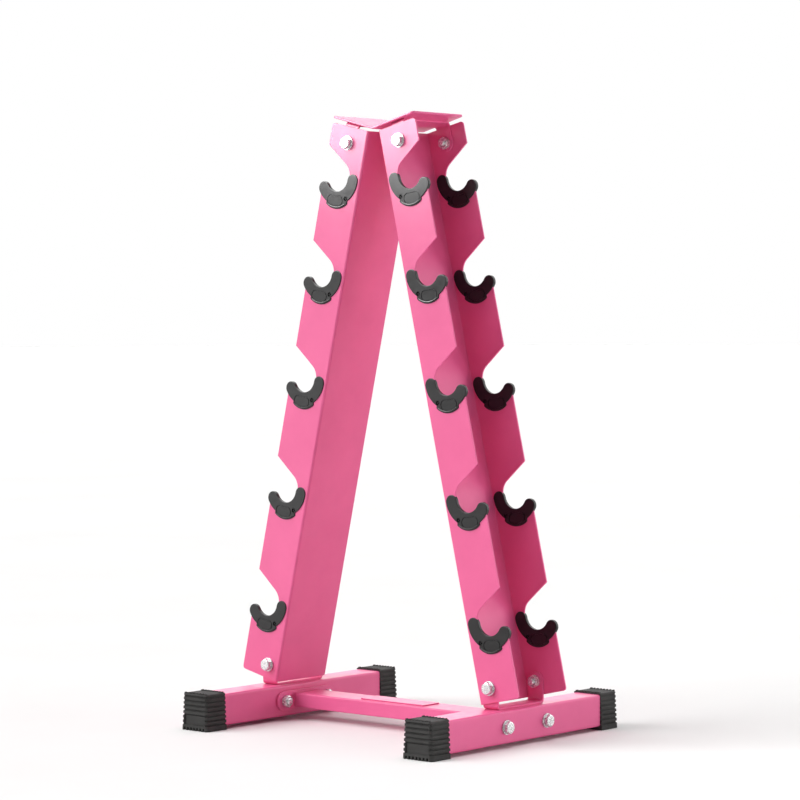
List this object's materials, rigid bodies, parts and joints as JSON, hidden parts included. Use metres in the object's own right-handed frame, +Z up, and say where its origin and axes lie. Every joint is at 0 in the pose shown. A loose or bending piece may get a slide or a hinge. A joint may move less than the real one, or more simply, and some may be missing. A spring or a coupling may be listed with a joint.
{
  "type": "dumbbell rack",
  "caption": "A-frame dumbbell rack: two leaning notched steel channels with plastic saddles, a V-shaped top plate, a bolted cross bar and capped foot tubes.",
  "frame": {"origin": "on the floor, under the centre of the rack", "axes": "+Z up; X across the A from one upright to the other; the feet run along Y with the front at -Y"},
  "size_m": [0.4342, 0.346, 0.7323],
  "materials": {
    "pink_coat": "semi-gloss powder coat",
    "cap_plastic": "moulded, ribbed, matte",
    "saddle_plastic": "moulded, satin",
    "zinc": "bright zinc plate"
  },
  "bodies": {
    "root": {"left_upright": "pink_coat", "right_upright": "pink_coat", "top_plate": "pink_coat", "left_top_bracket": "pink_coat", "right_top_bracket": "pink_coat", "left_foot_bracket": "pink_coat", "right_foot_bracket": "pink_coat", "left_foot_tube": "pink_coat", "right_foot_tube": "pink_coat", "cross_bar": "pink_coat", "left_end_plate": "pink_coat", "right_end_plate": "pink_coat", "name_plate": "pink_coat", "front_left_cap": "cap_plastic", "front_right_cap": "cap_plastic", "back_left_cap": "cap_plastic", "back_right_cap": "cap_plastic", "saddle_left_front_1": "saddle_plastic", "saddle_left_front_2": "saddle_plastic", "saddle_left_front_3": "saddle_plastic", "saddle_left_front_4": "saddle_plastic", "saddle_left_front_5": "saddle_plastic", "saddle_left_back_1": "saddle_plastic", "saddle_left_back_2": "saddle_plastic", "saddle_left_back_3": "saddle_plastic", "saddle_left_back_4": "saddle_plastic", "saddle_left_back_5": "saddle_plastic", "saddle_right_front_1": "saddle_plastic", "saddle_right_front_2": "saddle_plastic", "saddle_right_front_3": "saddle_plastic", "saddle_right_front_4": "saddle_plastic", "saddle_right_front_5": "saddle_plastic", "saddle_right_back_1": "saddle_plastic", "saddle_right_back_2": "saddle_plastic", "saddle_right_back_3": "saddle_plastic", "saddle_right_back_4": "saddle_plastic", "saddle_right_back_5": "saddle_plastic", "top_bolts": "zinc", "top_washers": "zinc", "top_nuts": "zinc", "foot_bolts": "zinc", "foot_washers": "zinc", "foot_nuts": "zinc", "bar_bolts": "zinc", "bar_washers": "zinc", "bar_nuts": "zinc"}
  },
  "joints": []
}
